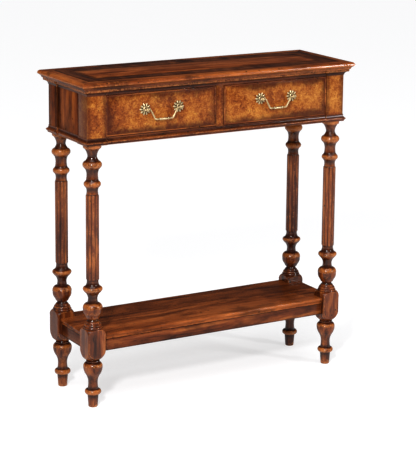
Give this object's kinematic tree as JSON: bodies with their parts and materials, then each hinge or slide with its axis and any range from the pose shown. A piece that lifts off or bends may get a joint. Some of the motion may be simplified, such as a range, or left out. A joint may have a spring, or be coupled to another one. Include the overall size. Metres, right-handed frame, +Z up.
{
  "type": "console table",
  "caption": "Narrow wooden console table with drawers under a moulded top, turned reeded legs and a low shelf.",
  "frame": {"origin": "on the floor below the middle of the top", "axes": "+X along the table's length to the right, +Y to the back, +Z up; the drawers open towards -Y"},
  "size_m": [0.7744, 0.2564, 0.81],
  "materials": {
    "turned_walnut": "rubbed french polish",
    "moulded_walnut": "rubbed french polish",
    "burl_veneer": "polished burl veneer with darker shaded margins",
    "top_field_veneer": "polished straight-grained veneer",
    "top_band_veneer": "polished cross-grained veneer",
    "shelf_walnut": "polished",
    "plain_carcass_wood": "plain sanded",
    "antique_brass": "aged, pale",
    "steel": "plain"
  },
  "bodies": {
    "frame": {"back_panel": "plain_carcass_wood", "base_moulding_back": "moulded_walnut", "base_moulding_front": "moulded_walnut", "base_moulding_left": "moulded_walnut", "base_moulding_right": "moulded_walnut", "bed_moulding_back": "moulded_walnut", "bed_moulding_front": "moulded_walnut", "bed_moulding_left": "moulded_walnut", "bed_moulding_right": "moulded_walnut", "corner_block_back_left": "burl_veneer", "corner_block_back_right": "burl_veneer", "corner_block_front_left": "burl_veneer", "corner_block_front_right": "burl_veneer", "drawer_divider": "moulded_walnut", "drawer_kicker_left": "plain_carcass_wood", "drawer_kicker_right": "plain_carcass_wood", "drawer_rail_lower": "moulded_walnut", "drawer_rail_upper": "moulded_walnut", "drawer_runner_left": "plain_carcass_wood", "drawer_runner_middle": "plain_carcass_wood", "drawer_runner_right": "plain_carcass_wood", "end_panel_left": "burl_veneer", "end_panel_right": "burl_veneer", "leg_back_left": "turned_walnut", "leg_back_right": "turned_walnut", "leg_front_left": "turned_walnut", "leg_front_right": "turned_walnut", "shelf_board": "shelf_walnut", "shelf_rail_back": "burl_veneer", "shelf_rail_front": "burl_veneer", "shelf_rail_left": "burl_veneer", "shelf_rail_right": "burl_veneer", "top_crossband": "top_band_veneer", "top_edge_back": "moulded_walnut", "top_edge_front": "moulded_walnut", "top_edge_left": "moulded_walnut", "top_edge_right": "moulded_walnut", "top_field_veneer": "top_field_veneer", "top_panel": "plain_carcass_wood", "top_screws": "steel"},
    "drawer_left": {"drawer_left_back": "plain_carcass_wood", "drawer_left_bottom": "plain_carcass_wood", "drawer_left_cockbead": "moulded_walnut", "drawer_left_front": "burl_veneer", "drawer_left_nuts": "antique_brass", "drawer_left_posts": "antique_brass", "drawer_left_rosettes": "antique_brass", "drawer_left_side_left": "plain_carcass_wood", "drawer_left_side_right": "plain_carcass_wood"},
    "bail_left": {"drawer_left_bail": "antique_brass"},
    "drawer_right": {"drawer_right_back": "plain_carcass_wood", "drawer_right_bottom": "plain_carcass_wood", "drawer_right_cockbead": "moulded_walnut", "drawer_right_front": "burl_veneer", "drawer_right_nuts": "antique_brass", "drawer_right_posts": "antique_brass", "drawer_right_rosettes": "antique_brass", "drawer_right_side_left": "plain_carcass_wood", "drawer_right_side_right": "plain_carcass_wood"},
    "bail_right": {"drawer_right_bail": "antique_brass"}
  },
  "joints": [
    {"name": "drawer_left_slide", "type": "slide", "parent": "frame", "child": "drawer_left", "axis": [0, -1, 0], "range_m": [0, 0.14]},
    {"name": "bail_left_hinge", "type": "hinge", "parent": "drawer_left", "child": "bail_left", "pos_m": [-0.16325, -0.1155, 0.7335], "axis": [-1, 0, 0], "range_deg": [-17, 95]},
    {"name": "drawer_right_slide", "type": "slide", "parent": "frame", "child": "drawer_right", "axis": [0, -1, 0], "range_m": [0, 0.14]},
    {"name": "bail_right_hinge", "type": "hinge", "parent": "drawer_right", "child": "bail_right", "pos_m": [0.16325, -0.1155, 0.7335], "axis": [-1, 0, 0], "range_deg": [-17, 95]}
  ]
}
